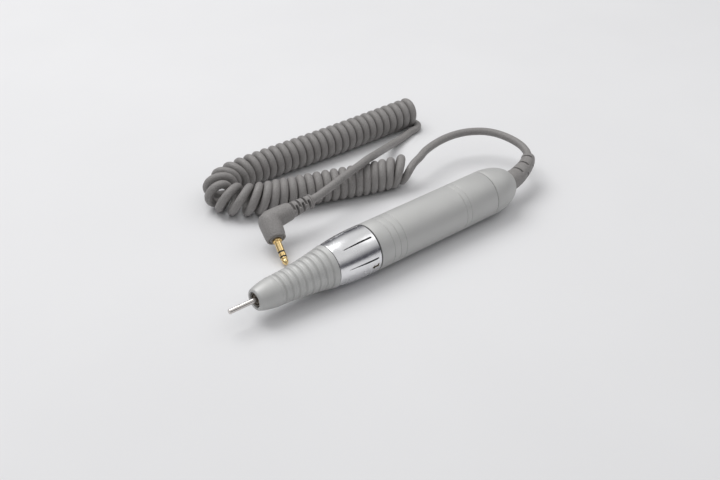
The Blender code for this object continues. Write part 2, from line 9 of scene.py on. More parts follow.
import bpy
import numpy as np
from mathutils import Euler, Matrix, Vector


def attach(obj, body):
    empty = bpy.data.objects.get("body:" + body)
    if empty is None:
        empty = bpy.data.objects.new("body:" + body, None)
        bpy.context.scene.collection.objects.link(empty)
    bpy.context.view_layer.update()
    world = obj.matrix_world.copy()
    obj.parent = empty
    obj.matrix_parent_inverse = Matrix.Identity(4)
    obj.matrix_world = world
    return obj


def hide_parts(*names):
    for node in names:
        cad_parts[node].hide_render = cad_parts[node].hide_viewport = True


MM = 0.001
TINY = 0.001
UP = np.array((0.0, 0.0, 1.0))

# Handpiece, along X and from its axis outwards
AXIS = (0.0, 0.0, 12.0)
BODY_R = 12.0
PIN_TIP = -88.5
PIN_END = -60.0
SHANK_R = 1.175
CHAMFER = 0.16
NOSE_FRONT = -75.0
NOSE_REAR = -34.0
COLLAR_FRONT = -33.6
COLLAR_REAR = -10.4
COLLAR_CROWN = 1.55
BARREL_FRONT = -9.7
BARREL_REAR = 67.2
CAP_FRONT = 67.5
DOME_FRONT = 68.5
DOME_LENGTH = 20.0
DOME_POWER = 2.2
CAP_HOLE_R = 4.9
CAP_SPIGOT = 6.0
MOUTH_R = 3.75
SHELL = 1.0
EDGE = 0.14

# Ribs of the grip, each with a deep valley and a shallow one, and grooves of the barrel
RIBS_START = -66.0
RIB_FRONT = -62.2
RIB_PITCH = 3.58
RIB_COUNT = 8
VALLEY = (0.72, 0.45)
SHALLOW_VALLEY = (0.2, 0.42)
GROOVES = (-2.1, 1.7, 5.5, 45.6, 48.8)
GROOVE = (0.3, 0.22)
GROOVE_REACH = 0.5

# Slots of the twist collar
SLOT_COUNT = 7
SLOT_FIRST = 8.0
SLOT_FRONT = -29.6
SLOT_REAR = -12.2
SLOT_HALF_WIDTH = 0.42
SLOT_DEPTH = 0.35
SLOTTED_R = 9.7

# Turn arrow on the collar
ARROW_X = -14.1
ARROW_ANGLE = math.radians(-12)
ARROW_STRETCH = 0.9
ARROW_RISE = 0.07

# Cord and plug
CORD_R = 2.1
COIL_SWELL = 0.15
TURN_R = 6.33
ELBOW = (-32.5, 47.3, 13.4)
JACK_AXIS = (-0.238, -0.851, -0.469)
NOSE_LENGTH = 11.5
JACK_R = 1.75
RELIEF_LENGTH = 26.0
RELIEF_BASE_R = 5.35
RELIEF_TIP_R = 3.65
RIBBED_LENGTH = 13.2
RIBBED_BASE_R = 4.2
RIBBED_TIP_R = 3.1

# Centre of the cord from the cap to the coil
LEAD_ROUTE = [
    (87.0, 0.0, 12.0), (93.5, 1.0, 12.2), (99.2, 2.6, 12.8), (104.9, 4.8, 13.4),
    (110.0, 8.0, 14.0), (114.2, 12.8, 14.6), (116.5, 18.8, 15.2), (117.0, 25.1, 15.7),
    (116.4, 31.4, 16.0), (114.7, 37.2, 16.2), (111.8, 42.2, 16.2), (107.8, 46.0, 16.1),
    (103.0, 49.0, 15.9), (97.3, 51.0, 15.6), (90.4, 51.7, 15.4), (82.3, 51.0, 15.2),
    (72.9, 48.8, 14.9), (63.9, 45.9, 14.3),
]

# Centre line of the coil: front run, hairpin, back run
COIL_ROUTE = [
    (60.5, 48.4, 8.6), (46.6, 51.6, 8.6), (34.0, 55.2, 8.6), (20.0, 60.4, 8.6),
    (6.0, 65.4, 8.6), (-8.0, 70.2, 8.6), (-19.2, 74.4, 8.6), (-28.2, 80.2, 8.6),
    (-32.6, 88.6, 8.6), (-28.4, 97.0, 8.6), (-18.6, 101.1, 8.6), (-5.0, 101.7, 8.6),
    (10.0, 101.2, 8.6), (30.0, 100.3, 8.6), (50.0, 99.4, 8.6), (75.0, 98.9, 8.6),
    (105.6, 98.4, 8.6),
]

# Where the lead comes down beside the first turn, and where the last turn lets the cord go
COIL_ENTRY = [(66.8, 46.4, 14.2), (61.8, 45.4, 12.9), (57.4, 43.9, 11.2), (54.8, 43.9, 8.0),
              (53.7, 45.9, 4.4)]
COIL_EXIT = [(106.0, 104.2, 6.2), (106.8, 100.6, 2.5), (107.2, 96.0, 2.2), (106.9, 92.2, 2.2),
             (105.4, 90.2, 2.2)]

# Distance along the centre line of the coil, and how many turns the cord has made there
COIL_TURNS = [
    (0, -0.23), (3, 0.32), (6, 0.89), (12, 2.14), (18, 3.48), (24, 4.85), (32, 6.66),
    (40, 8.43), (50, 10.57), (60, 12.66), (70, 14.8), (82, 17.28), (90, 18.7), (97, 19.66),
    (104, 20.6), (111, 21.68), (118, 22.62), (126, 23.64), (138, 25.74), (155, 29.14),
    (170, 32.26), (190, 36.39), (220, 42.5), (250, 48.45),
]
# The same distance, and how far the top of a turn leans along the coil
COIL_LEAN = [
    (0, -4.0), (6, -2.1), (12, 0.2), (18, 0.5), (55, 0.3), (70, -0.2), (82, -1.8), (97, -2.8),
    (104, -1.9), (111, 0.5), (118, 0.0), (126, -1.7), (138, -0.7), (170, -0.6), (250, 0.1),
]
# The same distance, and how far the outer side of a turn is pushed along the coil
COIL_SKEW = [
    (0, 2.0), (6, 2.8), (20, 2.4), (40, 0.5), (60, 0.0), (75, 1.0), (92, 1.2), (99, 0.0),
    (104, -1.6), (111, -3.6), (118, -4.0), (126, -2.9), (138, -0.6), (155, 0.0),
]
COIL_START = math.radians(200)

# Where the coil bends into the hairpin and out of it, and how far its turns open there
HAIRPIN_IN = (92, 104)
HAIRPIN_OUT = (112, 124)
HAIRPIN_OPENING = 1.1

# Centre of the cord from the coil to the plug
TAIL_ROUTE = [
    (109.0, 95.6, 2.4), (109.0, 91.8, 2.3), (107.4, 89.2, 2.3), (102.8, 88.6, 2.3),
    (98.6, 88.3, 2.3), (94.1, 86.9, 2.3), (86.5, 84.4, 2.5), (77.3, 80.8, 4.2), (65.5, 74.2, 7.9),
    (50.6, 63.7, 14.5), (37.6, 55.3, 19.6), (30.2, 53.2, 19.5), (22.1, 51.2, 19.2),
    (13.9, 49.4, 18.6), (6.5, 47.9, 17.7), (-0.8, 46.9, 16.6), (-7.0, 46.4, 15.7),
]

# Camera
CAMERA_AT = (-294.3, -336.05, 306.05)
CAMERA_YAW = 0.6953
CAMERA_PITCH = 0.5816
CAMERA_LENS = 55.72

# Studio, in metres and watts
LIGHTS_AIM = (0.02, 0.05, 0)
KEY_LIGHT = ("key", (-0.1, 0.55, 1.05), 0.9, 7.0)
FILL_LIGHT = ("fill", (0.9, -0.2, 0.9), 0.8, 1.2)
WORLD_STRENGTH = 0.7
HORIZON_COLOUR = (0.07, 0.07, 0.09, 1)
OVERHEAD_COLOUR = (1.0, 1.0, 1.0, 1)
FLOOR_HALF = 6.0


# ---------------------------------------------------------------- lines

def smooth_route(route, step):
    """Points about one step apart on a Catmull-Rom curve through the route."""
    knots = [np.array(point, float) for point in route]
    knots = [2 * knots[0] - knots[1]] + knots + [2 * knots[-1] - knots[-2]]
    samples = 40
    fine = []
    for i in range(1, len(knots) - 2):
        p0, p1, p2, p3 = knots[i - 1:i + 3]
        for k in range(samples):
            t = k / samples
            fine.append(0.5 * (2 * p1 + (p2 - p0) * t + (2 * p0 - 5 * p1 + 4 * p2 - p3) * t ** 2
                               + (3 * p1 - p0 - 3 * p2 + p3) * t ** 3))
    fine.append(knots[-2])
    return even_line(np.array(fine), step)


def travel_along(line):
    """Distance from the start of the line to each of its points."""
    steps = np.linalg.norm(np.diff(line, axis=0), axis=1)
    return np.concatenate([[0.0], np.cumsum(steps)])


def even_line(line, step):
    """The same line with its points about one step apart."""
    travel = travel_along(line)
    count = max(2, round(travel[-1] / step) + 1)
    at = np.linspace(0, travel[-1], count)
    return np.stack([np.interp(at, travel, line[:, k]) for k in range(3)], axis=1)


def directions(line):
    tangents = np.gradient(line, axis=0)
    return tangents / np.linalg.norm(tangents, axis=1)[:, None]


def from_knots(knots, at):
    return np.interp(at, [x for x, _ in knots], [y for _, y in knots])


def ease(value, low, high):
    """0 below low, 1 above high and smooth in between."""
    t = np.clip((value - low) / (high - low), 0, 1)
    return t * t * (3 - 2 * t)


def coil_line():
    """The cord's centre through the coil: the turns lean, and bunch up inside the hairpin."""
    centre = smooth_route(COIL_ROUTE, 0.25)
    travel = travel_along(centre)
    along = directions(centre)
    outwards = np.cross(UP, along)
    outwards /= np.linalg.norm(outwards, axis=1)[:, None]
    angle = 2 * math.pi * from_knots(COIL_TURNS, travel)
    shift = from_knots(COIL_LEAN, travel) * np.cos(angle)
    shift += from_knots(COIL_SKEW, travel) * np.sin(angle)
    bend = ease(travel, *HAIRPIN_IN) * (1 - ease(travel, *HAIRPIN_OUT))
    inside = np.clip(-np.sin(angle), 0, 1)
    radius = TURN_R + HAIRPIN_OPENING * bend * inside * np.cos(angle / 2 + math.pi / 4)
    line = (centre + shift[:, None] * along
            + (radius * np.cos(angle))[:, None] * UP
            + (radius * np.sin(angle))[:, None] * outwards)
    return line[angle > COIL_START]


def relax(line, first, last, rounds):
    """Smooth the line between two of its points, so that two stretches flow into one."""
    line = line.copy()
    for _ in range(rounds):
        line[first:last] = (line[first - 1:last - 1] + line[first + 1:last + 1]) / 2
    return line


def nearest(line, point):
    """Index of the line's point that is nearest to a place."""
    return int(np.argmin(np.linalg.norm(line - point, axis=1)))


def cord_line():
    """The whole cord, from inside its strain relief to inside the relief of the plug."""
    step = 0.8
    hidden_in_relief = 3.0
    lead = smooth_route(LEAD_ROUTE[:-1] + COIL_ENTRY, step)
    lead = lead[travel_along(lead) > RELIEF_LENGTH - hidden_in_relief]
    coil = coil_line()
    tail = smooth_route(COIL_EXIT + TAIL_ROUTE[3:], step)
    line = even_line(np.concatenate([lead, coil, tail]), step)
    reach, rounds = 7, 25
    for joint in (coil[0], coil[-1]):
        middle = nearest(line, joint)
        line = relax(line, middle - reach, middle + reach, rounds)
    return even_line(line, 0.9)


# ---------------------------------------------------------------- meshes

def mesh_piece(name, points, faces, materials, body, replaced=(), face_slots=None):
    """A smooth-shaded piece in millimetres that rides on a body and may replace CAD nodes."""
    mesh = bpy.data.meshes.new(name)
    mesh.from_pydata([tuple(p) for p in np.asarray(points) * MM], [], faces)
    mesh.polygons.foreach_set("use_smooth", [True] * len(mesh.polygons))
    if face_slots is not None:
        mesh.polygons.foreach_set("material_index", face_slots)
    mesh.validate()
    mesh.set_sharp_from_angle(angle=math.radians(38))
    obj = bpy.data.objects.new(name, mesh)
    bpy.context.scene.collection.objects.link(obj)
    for material in materials:
        mesh.materials.append(material)
    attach(obj, body)
    if replaced:
        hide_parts(*replaced)
    return obj


def frame_of(axis):
    """Two directions across an axis; along X the first one is -Y and the second +Z."""
    axis = np.array(axis, float)
    axis /= np.linalg.norm(axis)
    second = UP - (UP @ axis) * axis
    second /= np.linalg.norm(second)
    return axis, np.cross(axis, second), second


def ring_points(outline, angles, origin, axis, radius_at=None):
    """Rows of points: one row for each (along, radius) of the outline."""
    axis, first, second = frame_of(axis)
    rows = []
    for along, radius in outline:
        r = np.full(len(angles), float(radius))
        if radius_at is not None:
            r = radius_at(along, r, angles)
        circle = np.cos(angles)[:, None] * first + np.sin(angles)[:, None] * second
        rows.append(np.array(origin) + axis * along + r[:, None] * circle)
    return np.concatenate(rows)


def ring_faces(rows, columns, closed):
    """Quads between rows of a grid that is closed round its columns."""
    faces = []
    for i in range(rows if closed else rows - 1):
        j = (i + 1) % rows
        for k in range(columns):
            n = (k + 1) % columns
            faces.append((i * columns + k, i * columns + n, j * columns + n, j * columns + k))
    return faces


def turned(name, outline, materials, body, replaced=(), segments=96,
           origin=AXIS, axis=(1, 0, 0), closed=True, radius_at=None, angles=None):
    """A turned piece. A closed outline runs round its section; an open one ends on the axis."""
    if angles is None:
        angles = np.linspace(0, 2 * math.pi, segments, endpoint=False)
    points = ring_points(outline, angles, origin, axis, radius_at)
    faces = ring_faces(len(outline), len(angles), closed)
    if not closed:
        columns = len(angles)
        last = (len(outline) - 1) * columns
        faces.append(tuple(reversed(range(columns))))
        faces.append(tuple(range(last, last + columns)))
    return mesh_piece(name, points, faces, materials, body, replaced)


def swept(name, line, radii, sides, materials, body, replaced=(), radius_at=None):
    """A tube round a line with closed ends; radius_at may shape it by angle."""
    tangents = directions(line)
    across = np.cross(UP, tangents[0])
    across /= np.linalg.norm(across)
    angles = np.linspace(0, 2 * math.pi, sides, endpoint=False)
    travel = travel_along(line)
    rows = []
    for point, tangent, radius, at in zip(line, tangents, radii, travel):
        across = across - (across @ tangent) * tangent
        across /= np.linalg.norm(across)
        over = np.cross(tangent, across)
        r = np.full(sides, float(radius))
        if radius_at is not None:
            r = radius_at(at, r, angles)
        circle = np.cos(angles)[:, None] * across + np.sin(angles)[:, None] * over
        rows.append(point + r[:, None] * circle)
    faces = ring_faces(len(line), sides, False)
    last = (len(line) - 1) * sides
    faces.append(tuple(reversed(range(sides))))
    faces.append(tuple(range(last, last + sides)))
    return mesh_piece(name, np.concatenate(rows), faces, materials, body, replaced)


# ---------------------------------------------------------------- materials

class Look:
    """A Principled material whose colour, roughness and bump vary with noise."""

    def __init__(self, name, roughness, metallic=0.0, **shader_values):
        self.material = bpy.data.materials.new(name)
        self.material.use_nodes = True
        self.tree = self.material.node_tree
        self.shader = self.tree.nodes["Principled BSDF"]
        self.shader.inputs["Roughness"].default_value = roughness
        self.shader.inputs["Metallic"].default_value = metallic
        for socket, value in shader_values.items():
            self.shader.inputs[socket.replace("_", " ")].default_value = value
        self.coords = self.tree.nodes.new("ShaderNodeTexCoord").outputs["Object"]
        self.normal = None

    def noise(self, scale, detail=4.0, stretch=(1.0, 1.0, 1.0)):
        mapping = self.tree.nodes.new("ShaderNodeMapping")
        mapping.inputs["Scale"].default_value = stretch
        self.tree.links.new(self.coords, mapping.inputs["Vector"])
        texture = self.tree.nodes.new("ShaderNodeTexNoise")
        texture.inputs["Scale"].default_value = scale
        texture.inputs["Detail"].default_value = detail
        self.tree.links.new(mapping.outputs["Vector"], texture.inputs["Vector"])
        return texture.outputs["Fac"]

    def scaled(self, value, low, high, start=0.35, end=0.65):
        node = self.tree.nodes.new("ShaderNodeMapRange")
        node.inputs["From Min"].default_value = start
        node.inputs["From Max"].default_value = end
        node.inputs["To Min"].default_value = low
        node.inputs["To Max"].default_value = high
        self.tree.links.new(value, node.inputs["Value"])
        return node.outputs["Result"]

    def colour(self, value, dark, light, start=0.35, end=0.65):
        mix = self.tree.nodes.new("ShaderNodeMix")
        mix.data_type = "RGBA"
        mix.inputs["A"].default_value = (*dark, 1.0)
        mix.inputs["B"].default_value = (*light, 1.0)
        self.tree.links.new(self.scaled(value, 0.0, 1.0, start, end), mix.inputs["Factor"])
        self.tree.links.new(mix.outputs["Result"], self.shader.inputs["Base Color"])
        return self

    def roughness(self, value, low, high):
        self.tree.links.new(self.scaled(value, low, high), self.shader.inputs["Roughness"])
        return self

    def bump(self, value, depth):
        """depth is the height of the bumps in millimetres."""
        node = self.tree.nodes.new("ShaderNodeBump")
        node.inputs["Strength"].default_value = 1.0
        node.inputs["Distance"].default_value = depth * MM
        self.tree.links.new(value, node.inputs["Height"])
        if self.normal is not None:
            self.tree.links.new(self.normal, node.inputs["Normal"])
        self.normal = node.outputs["Normal"]
        self.tree.links.new(self.normal, self.shader.inputs["Normal"])
        return self


def silver_paint():
    """Satin metallic paint: fine flakes, a faint orange peel and slightly rubbed patches."""
    look = Look("silver_paint", 0.52, 0.35, Specular_IOR_Level=0.4)
    flakes = look.noise(14000, 2.0)
    patches = look.noise(90, 3.0)
    look.colour(flakes, (0.50, 0.50, 0.49), (0.59, 0.59, 0.58))
    look.roughness(patches, 0.5, 0.6)
    look.bump(look.noise(1500, 2.0), 0.006)
    look.bump(flakes, 0.004)
    return look.material


def polished_chrome():
    """Plated metal with faint turning lines, haze and hairline scratches."""
    look = Look("chrome", 0.1, 1.0)
    look.colour(look.noise(60, 3.0), (0.78, 0.78, 0.80), (0.86, 0.86, 0.87))
    look.roughness(look.noise(220, 4.0), 0.2, 0.29)
    look.bump(look.noise(900, 2.0, (8.0, 0.6, 0.6)), 0.0012)
    look.bump(look.noise(700, 3.0, (0.4, 5.0, 5.0)), 0.0006)
    return look.material


def machined(name, dark, light, low, high, stretch=(9.0, 0.7, 0.7), depth=0.003):
    """Bare turned metal: fine lines round the axis and uneven lustre."""
    look = Look(name, low, 1.0)
    look.colour(look.noise(350, 4.0), dark, light)
    look.roughness(look.noise(500, 3.0), low, high)
    look.bump(look.noise(1200, 2.0, stretch), depth)
    return look.material


def moulded(name, dark, light, low, high, grain):
    """Moulded plastic or rubber: a fine matt grain and slight mottling."""
    look = Look(name, low, 0.0, Specular_IOR_Level=0.4)
    look.colour(look.noise(300, 5.0), dark, light)
    look.roughness(look.noise(600, 3.0), low, high)
    look.bump(look.noise(5200, 3.0), grain)
    return look.material


def grey_rubber():
    """Matt grey sheath with a coarse grain, slightly mottled and a little shiny where rubbed."""
    look = Look("grey_cord", 0.5, 0.0, Specular_IOR_Level=0.4)
    grain = look.noise(2300, 3.0)
    look.colour(grain, (0.215, 0.205, 0.20), (0.315, 0.303, 0.296))
    look.roughness(look.noise(400, 3.0), 0.42, 0.6)
    look.bump(grain, 0.05)
    look.bump(look.noise(7000, 2.0), 0.01)
    return look.material


def enamelled_copper():
    """Windings: fine parallel wires under clear varnish."""
    look = Look("copper", 0.3, 0.9, Coat_Weight=0.5, Coat_Roughness=0.15)
    look.colour(look.noise(900, 3.0), (0.55, 0.22, 0.10), (0.78, 0.38, 0.20))
    look.roughness(look.noise(700, 3.0), 0.22, 0.4)
    look.bump(look.noise(2600, 1.0, (6.0, 6.0, 0.3)), 0.03)
    return look.material


def floor_paper():
    """Matt white paper with very faint mottling."""
    look = Look("floor_paper", 0.75, 0.0, Specular_IOR_Level=0.2)
    look.colour(look.noise(6, 5.0), (0.765, 0.765, 0.775), (0.785, 0.785, 0.795))
    look.roughness(look.noise(40, 4.0), 0.7, 0.85)
    look.bump(look.noise(900, 4.0), 0.01)
    return look.material


def make_looks():
    """The material of each slot, and three darker or finer ones for the pieces in the nose."""
    return {
        "silver_paint": silver_paint(),
        "chrome": polished_chrome(),
        "steel": machined("steel", (0.36, 0.35, 0.34), (0.50, 0.49, 0.47), 0.28, 0.45),
        "bright_steel": machined("bright_steel", (0.62, 0.60, 0.58), (0.74, 0.72, 0.69), 0.16, 0.3),
        "dark_steel": machined("dark_steel", (0.13, 0.11, 0.09), (0.22, 0.19, 0.16), 0.3, 0.45),
        "ground_steel": machined("ground_steel", (0.60, 0.57, 0.55), (0.66, 0.63, 0.60), 0.2, 0.3,
                                 depth=0.0006),
        "dark_bronze": machined("dark_bronze", (0.05, 0.04, 0.02), (0.09, 0.07, 0.03), 0.3, 0.5),
        "brass": machined("brass", (0.55, 0.38, 0.16), (0.70, 0.52, 0.25), 0.25, 0.4),
        "gold_plate": machined("gold_plate", (0.83, 0.60, 0.27), (0.92, 0.70, 0.36), 0.14, 0.24,
                               (1.0, 1.0, 1.0)),
        "copper": enamelled_copper(),
        "black_plastic": moulded("black_plastic", (0.008, 0.008, 0.009), (0.02, 0.02, 0.02),
                                 0.4, 0.6, 0.006),
        "dark_ferrite": moulded("dark_ferrite", (0.035, 0.035, 0.04), (0.08, 0.08, 0.085),
                                0.55, 0.8, 0.02),
        "white_plastic": moulded("white_plastic", (0.50, 0.48, 0.43), (0.60, 0.58, 0.53),
                                 0.4, 0.55, 0.008),
        "red_wire": moulded("red_wire", (0.38, 0.02, 0.02), (0.52, 0.04, 0.03), 0.35, 0.5, 0.005),
        "grey_cord": grey_rubber(),
    }


# ---------------------------------------------------------------- handpiece

def grip_radius(x):
    """Radius over the ribs: slim at the front and flaring towards the collar."""
    t = (x + 66.0) / 32.0
    return 7.2 + 0.7 * t + 2.75 * np.maximum(t, 0) ** 1.9


def rib_cut(x):
    """Depth below the grip's surface: a deep valley for each rib and a shallow one between."""
    depth = 0.0
    for n in range(RIB_COUNT):
        valley = RIB_FRONT + n * RIB_PITCH
        depth += dip(x - valley, *VALLEY)
        depth += dip(x - valley + RIB_PITCH / 2, *SHALLOW_VALLEY)
    return depth


def dip(away, depth, width):
    """Depth of a soft valley at a distance from its middle."""
    return depth * np.exp(-(away / width) ** 2)


def make_nose(looks):
    """Grip shell: a smooth cone in front, ribs behind it, and a stepped mouth."""
    edge = 0.12
    ribbed = np.arange(RIBS_START, NOSE_REAR, 0.12)
    cone = smooth_profile([(-74.9, 4.85), (-74.5, 5.25), (-73.4, 5.65), (-71.6, 6.15),
                           (-69.7, 6.55), (-68.0, 6.85), (-66.1, 7.12)], 0.25)
    outside = [(NOSE_FRONT, 4.62)] + cone
    outside += [(x, grip_radius(x) - rib_cut(x)) for x in ribbed]
    end = float(grip_radius(NOSE_REAR))
    outside += [(NOSE_REAR - edge, end), (NOSE_REAR, end - edge)]
    inside = [(NOSE_REAR, 8.2), (-43.5, 8.2), (-54.5, 7.1), (-68.0, 6.1), (-70.2, 5.2),
              (-73.2, 5.2), (-73.8, MOUTH_R), (-74.7, MOUTH_R), (NOSE_FRONT, MOUTH_R + 0.25)]
    turned("grip_shell", outside + inside, [looks["silver_paint"]], "handpiece",
           ["nose_cone"], 128)


def smooth_profile(knots, step):
    """(along, radius) points on a smooth curve through the knots."""
    line = smooth_route([(x, r, 0.0) for x, r in knots], step)
    return [(x, r) for x, r, _ in line]


def soft_edge(x, inwards):
    """A rounded edge of the body at x; inwards is 1 or -1, towards the piece's middle."""
    return [(x, BODY_R - EDGE), (x + 0.05 * inwards, BODY_R - 0.05), (x + 0.16 * inwards, BODY_R)]


def make_barrel(looks):
    outside = soft_edge(BARREL_FRONT, 1)
    for centre in GROOVES:
        outside += [(centre + shift, BODY_R - dip(shift, *GROOVE))
                    for shift in np.linspace(-GROOVE_REACH, GROOVE_REACH, 15)]
    outside += reversed(soft_edge(BARREL_REAR, -1))
    inside = [(BARREL_REAR, BODY_R - SHELL), (BARREL_FRONT, BODY_R - SHELL)]
    turned("barrel_shell", outside + inside, [looks["silver_paint"]], "handpiece",
           ["barrel"], 128)


def dome_radius(part):
    """Radius of the cap's dome; part runs from 0 at its edge to 1 at its end."""
    return BODY_R * (1 - part ** DOME_POWER) ** (1 / DOME_POWER)


def make_cap(looks):
    """Domed cap with a spigot inside the barrel and a hole for the strain relief."""
    spigot_r = 10.7
    last = (1 - (CAP_HOLE_R / BODY_R) ** DOME_POWER) ** (1 / DOME_POWER)
    outside = [(CAP_FRONT - CAP_SPIGOT, spigot_r), (CAP_FRONT, spigot_r)]
    outside += soft_edge(CAP_FRONT, 1)
    outside += [(DOME_FRONT + DOME_LENGTH * part, dome_radius(part))
                for part in last * np.linspace(0.05, 1, 60) ** 0.8]
    end = DOME_FRONT + DOME_LENGTH * last
    inside = [(end - 0.15, CAP_HOLE_R - 0.06), (83.6, CAP_HOLE_R), (83.4, 6.8), (79.0, 8.6),
              (74.0, 9.5), (CAP_FRONT - CAP_SPIGOT, 9.5)]
    turned("cap_shell", outside + inside, [looks["silver_paint"]], "handpiece",
           ["rear_cap"], 128)


def make_seams(looks):
    """Black rings that show in the gaps before and behind the collar."""
    front = [(NOSE_REAR + 0.1, 8.2), (NOSE_REAR + 0.1, 10.3), (COLLAR_FRONT - 0.1, 10.3),
             (COLLAR_FRONT - 0.1, 8.2)]
    rear = [(COLLAR_REAR + 0.2, 9.8), (COLLAR_REAR + 0.2, 11.7), (BARREL_FRONT - 0.2, 11.7),
            (BARREL_FRONT - 0.2, 9.8)]
    for name, outline, node in (("front_seal", front, "front_seal_ring"),
                                ("rear_seal", rear, "rear_seal_ring")):
        turned(name, outline, [looks["black_plastic"]], "handpiece", [node])


def collar_radius(x):
    """The collar narrows in a curve towards the grip."""
    part = (x - COLLAR_FRONT) / (COLLAR_REAR - COLLAR_FRONT)
    return BODY_R - COLLAR_CROWN * (1 - np.minimum(part / 0.8, 1)) ** 1.9


def slot_angles():
    """Angles round the collar, close together at each slot's edges."""
    half = SLOT_HALF_WIDTH / BODY_R
    near = np.array((0, 0.35, 0.6, 0.8, 0.92, 1.04, 1.2, 1.5, 2.2)) * half
    gap = 2 * math.pi / SLOT_COUNT
    between = np.linspace(3.2 * half, gap - 3.2 * half, 16)
    angles = []
    for n in range(SLOT_COUNT):
        centre = math.radians(SLOT_FIRST) + n * gap
        angles += list(centre - near[:0:-1]) + list(centre + near) + list(centre + between)
    return np.array(sorted(a % (2 * math.pi) for a in angles))


def slot_cut(x, angles):
    """Depth of the collar's slots: rounded at the rear and fading to a point at the front."""
    gap = 2 * math.pi / SLOT_COUNT
    away = (angles - math.radians(SLOT_FIRST) + gap / 2) % gap - gap / 2
    part = (x - SLOT_FRONT) / (SLOT_REAR - SLOT_FRONT)
    if not 0 < part < 1:
        return np.zeros(len(angles))
    width = SLOT_HALF_WIDTH * (0.35 + 0.65 * ease(part, 0, 0.6))
    width *= math.sqrt(max(0.0, 1 - max(0.0, (part - 0.975) / 0.025) ** 2))
    across = np.abs(away) * BODY_R
    return SLOT_DEPTH * ease(part, 0, 0.12) * (1 - ease(across, 0.78 * width, 1.02 * width + 0.01))


def make_collar(looks):
    """Chrome collar; the floors of the slots take the black material."""
    angles = slot_angles()
    xs = list(np.linspace(COLLAR_FRONT + 0.14, SLOT_FRONT - 0.4, 8))
    xs += list(np.arange(SLOT_FRONT - 0.1, SLOT_REAR - 0.6, 0.35))
    xs += list(np.arange(SLOT_REAR - 0.6, SLOT_REAR + 0.1, 0.08))
    xs += [-12.0, -11.2, COLLAR_REAR - 0.14]
    front = float(collar_radius(COLLAR_FRONT))
    rear = float(collar_radius(COLLAR_REAR))
    outline = [(COLLAR_FRONT, 9.65), (COLLAR_FRONT, front - 0.12)]
    outline += [(x, float(collar_radius(x))) for x in xs]
    outline += [(COLLAR_REAR, rear - 0.14), (COLLAR_REAR, 9.65)]

    def radius_at(x, radius, around):
        return radius - slot_cut(x, around) * (radius > SLOTTED_R)

    points = ring_points(outline, angles, AXIS, (1, 0, 0), radius_at)
    faces = ring_faces(len(outline), len(angles), True)
    depth = np.concatenate([slot_cut(x, angles) * (r > SLOTTED_R) for x, r in outline])
    # Faces that lie deep in a slot get the second, black material.
    dark = [int(min(depth[list(face)]) > 0.3 * SLOT_DEPTH) for face in faces]
    mesh_piece("collar_shell", points, faces, [looks["chrome"], looks["black_plastic"]],
               "collar", ["twist_collar"], dark)


def make_arrow(looks):
    """A small generic turn arrow in dark ink on the collar."""
    thickness = 0.08
    shape = [(-2.2, 0.0), (-0.6, 1.1), (-0.6, 0.45), (1.3, 0.45), (1.3, 1.1), (2.2, 1.1),
             (2.2, -0.45), (-0.6, -0.45), (-0.6, -1.1)]
    axis, first, second = frame_of((1, 0, 0))
    grid = []
    for x, across in shape:
        at = ARROW_X + x * ARROW_STRETCH
        radius = float(collar_radius(at)) + ARROW_RISE
        angle = ARROW_ANGLE + across / radius
        grid.append(np.array(AXIS) + axis * at
                    + radius * (math.cos(angle) * first + math.sin(angle) * second))
    inner = [p - thickness * (p - np.array([p[0], 0.0, AXIS[2]])) / BODY_R for p in grid]
    count = len(shape)
    faces = [tuple(range(count)), tuple(reversed(range(count, 2 * count)))]
    faces += [(k, k + count, (k + 1) % count + count, (k + 1) % count) for k in range(count)]
    mesh_piece("turn_arrow", np.array(grid + inner), faces, [looks["dark_bronze"]],
               "collar")


def make_collet(looks):
    """Four jaws with a slit between them, round the bit."""
    outline = [(-73.9, 1.38), (-73.9, 2.3), (-73.7, 2.42), (-70.1, 1.88), (-58.0, 1.88),
               (-58.0, 1.3), (-73.6, 1.3)]
    count, steps, size = 4, 16, len(outline)
    half_slit = 0.16
    points, faces = [], []
    for n in range(count):
        start = math.pi / 4 + n * math.pi / 2
        angles = np.linspace(start + half_slit, start + math.pi / 2 - half_slit, steps)
        base = n * size * steps
        points.append(ring_points(outline, angles, AXIS, (1, 0, 0)))
        for i in range(size):
            j = (i + 1) % size
            for k in range(steps - 1):
                faces.append((base + i * steps + k, base + i * steps + k + 1,
                              base + j * steps + k + 1, base + j * steps + k))
        faces.append(tuple(base + i * steps for i in range(size)))
        faces.append(tuple(base + i * steps + steps - 1 for i in reversed(range(size))))
    mesh_piece("collet_jaws", np.concatenate(points), faces, [looks["dark_steel"]],
               "collet", ["collet"])


def make_spindle_nose(looks):
    outline = [(-74.3, 2.8), (-74.3, 3.12), (-74.12, 3.25), (-68.9, 3.25), (-68.7, 3.0),
               (-19.9, 3.0), (-19.9, 2.6), (-17.6, 2.6), (-17.6, 2.15), (-70.0, 2.15)]
    turned("spindle_tube", outline, [looks["dark_steel"]], "spindle",
           ["spindle"], 64)


def make_pin(looks):
    outline = [(PIN_TIP, TINY), (PIN_TIP, SHANK_R - CHAMFER), (PIN_TIP + 0.05, SHANK_R - 0.06),
               (PIN_TIP + CHAMFER, SHANK_R), (PIN_END - CHAMFER, SHANK_R),
               (PIN_END, SHANK_R - CHAMFER), (PIN_END, TINY)]
    turned("test_pin", outline, [looks["ground_steel"]], "bit_pin", ["bit_pin"],
           48, closed=False)


# ---------------------------------------------------------------- strain reliefs and cord

